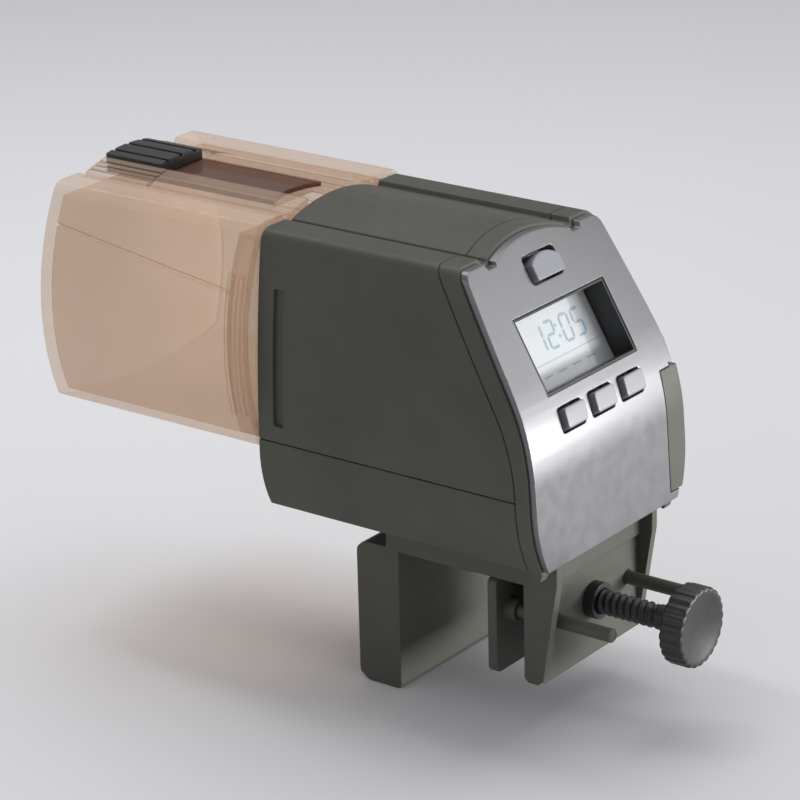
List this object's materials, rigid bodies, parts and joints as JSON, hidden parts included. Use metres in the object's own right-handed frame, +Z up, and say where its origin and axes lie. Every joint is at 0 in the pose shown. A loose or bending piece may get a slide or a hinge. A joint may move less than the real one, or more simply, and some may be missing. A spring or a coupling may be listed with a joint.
{
  "type": "automatic fish feeder",
  "caption": "Battery-powered aquarium feeder: a clear food drum turned by a geared motor behind a timer face, held on the rim by a screw clamp.",
  "frame": {"origin": "the corner the aquarium rim sits in, on the middle plane: the fixed jaw's inner face meets the bracket's rest face", "axes": "+X from the food drum towards the timer face, +Z up, +Y towards the battery door"},
  "size_m": [0.1815, 0.076, 0.1247],
  "materials": {
    "housing_plastic": "fine matt moulded charcoal",
    "face_silver": "satin silver-grey",
    "black_plastic": "satin black",
    "clear_window": "clear polished",
    "lcd_grey": "pale grey-green display",
    "rubber_strip": "soft conductive rubber",
    "button_white": "near-white satin",
    "circuit_green": "solder mask",
    "steel": "plated",
    "spring_steel": "nickel plated",
    "motor_steel": "zinc plated can",
    "cell_wrap": "plain wrapped cell",
    "brass": "turned",
    "gear_plastic": "natural acetal",
    "amber_clear": "smoky amber, polished",
    "amber_dark": "smoky brown, polished",
    "wire_red": "insulated lead"
  },
  "bodies": {
    "feeder_body": {"upper_housing": "housing_plastic", "base_housing": "housing_plastic", "front_bezel": "housing_plastic", "face_plate": "face_silver", "lcd_frame": "black_plastic", "lcd_lens": "clear_window", "lcd_panel": "lcd_grey", "lcd_connectors": "rubber_strip", "tact_switches": "black_plastic", "control_board": "circuit_green", "board_components": "black_plastic", "board_screws": "steel", "battery_tray": "black_plastic", "battery_cells": "cell_wrap", "battery_springs": "spring_steel", "battery_contacts": "spring_steel", "motor": "motor_steel", "gear_axles": "steel", "gear_plate": "black_plastic", "gear_plate_screws": "steel", "shaft_bushing": "brass", "home_switch": "black_plastic", "clamp_bracket": "housing_plastic", "bracket_screws": "steel", "threaded_bush": "black_plastic", "housing_screws": "steel", "wires": "wire_red"},
    "drive": {"drum_gear": "gear_plastic", "drive_shaft": "steel", "drive_hub": "black_plastic", "hub_screw": "steel", "home_cam": "gear_plastic"},
    "drum": {"drum_shell": "amber_clear", "drum_collar": "amber_clear"},
    "shutter": {"shutter": "amber_dark", "shutter_tab": "black_plastic"},
    "second_gear": {"second_gear": "gear_plastic"},
    "first_gear": {"first_gear": "gear_plastic"},
    "motor_rotor": {"motor_shaft": "steel", "motor_pinion": "brass"},
    "top_button": {"top_button": "button_white"},
    "left_button": {"left_button": "button_white"},
    "middle_button": {"middle_button": "button_white"},
    "right_button": {"right_button": "button_white"},
    "battery_door": {"battery_door": "housing_plastic"},
    "clamp_jaw": {"clamp_plate": "housing_plastic", "guide_pins": "housing_plastic"},
    "thumbscrew": {"thumbscrew": "black_plastic"}
  },
  "joints": [
    {"name": "drum_spin", "type": "hinge", "parent": "feeder_body", "child": "drive", "pos_m": [-0.0355, 0, 0.0533], "axis": [1, 0, 0], "continuous": true},
    {"name": "drum_pull", "type": "slide", "parent": "drive", "child": "drum", "axis": [-1, 0, 0], "range_m": [0, 0.03]},
    {"name": "shutter_slide", "type": "slide", "parent": "drum", "child": "shutter", "axis": [1, 0, 0], "range_m": [0, 0.0105]},
    {"name": "second_gear_spin", "type": "hinge", "parent": "feeder_body", "child": "second_gear", "pos_m": [-0.0355, -0.01144, 0.03569], "axis": [1, 0, 0], "continuous": true},
    {"name": "first_gear_spin", "type": "hinge", "parent": "feeder_body", "child": "first_gear", "pos_m": [-0.0355, -0.01383, 0.0221], "axis": [1, 0, 0], "continuous": true},
    {"name": "motor_spin", "type": "hinge", "parent": "feeder_body", "child": "motor_rotor", "pos_m": [-0.0355, -0.00233, 0.0221], "axis": [1, 0, 0], "continuous": true},
    {"name": "top_button_press", "type": "slide", "parent": "feeder_body", "child": "top_button", "axis": [-0.8625, 0, -0.506], "range_m": [0, 0.0008]},
    {"name": "left_button_press", "type": "slide", "parent": "feeder_body", "child": "left_button", "axis": [-0.8625, 0, -0.506], "range_m": [0, 0.0008]},
    {"name": "middle_button_press", "type": "slide", "parent": "feeder_body", "child": "middle_button", "axis": [-0.8625, 0, -0.506], "range_m": [0, 0.0008]},
    {"name": "right_button_press", "type": "slide", "parent": "feeder_body", "child": "right_button", "axis": [-0.8625, 0, -0.506], "range_m": [0, 0.0008]},
    {"name": "battery_door_slide", "type": "slide", "parent": "feeder_body", "child": "battery_door", "axis": [1, 0, 0], "range_m": [0, 0.07]},
    {"name": "clamp_slide", "type": "slide", "parent": "feeder_body", "child": "clamp_jaw", "axis": [-1, 0, 0], "range_m": [-0.00691, 0.01601]},
    {"name": "thumbscrew_turn", "type": "hinge", "parent": "clamp_jaw", "child": "thumbscrew", "pos_m": [0.0345, 0, -0.0105], "axis": [-1, 0, 0], "range_deg": [-1242, 2880]}
  ],
  "couplings": [
    {"joint": "second_gear_spin", "follows": "drum_spin", "ratio": -4},
    {"joint": "first_gear_spin", "follows": "drum_spin", "ratio": 14.4},
    {"joint": "motor_spin", "follows": "drum_spin", "ratio": -51.84},
    {"joint": "clamp_slide", "follows": "thumbscrew_turn", "m_per_rad": 0.00031831}
  ]
}
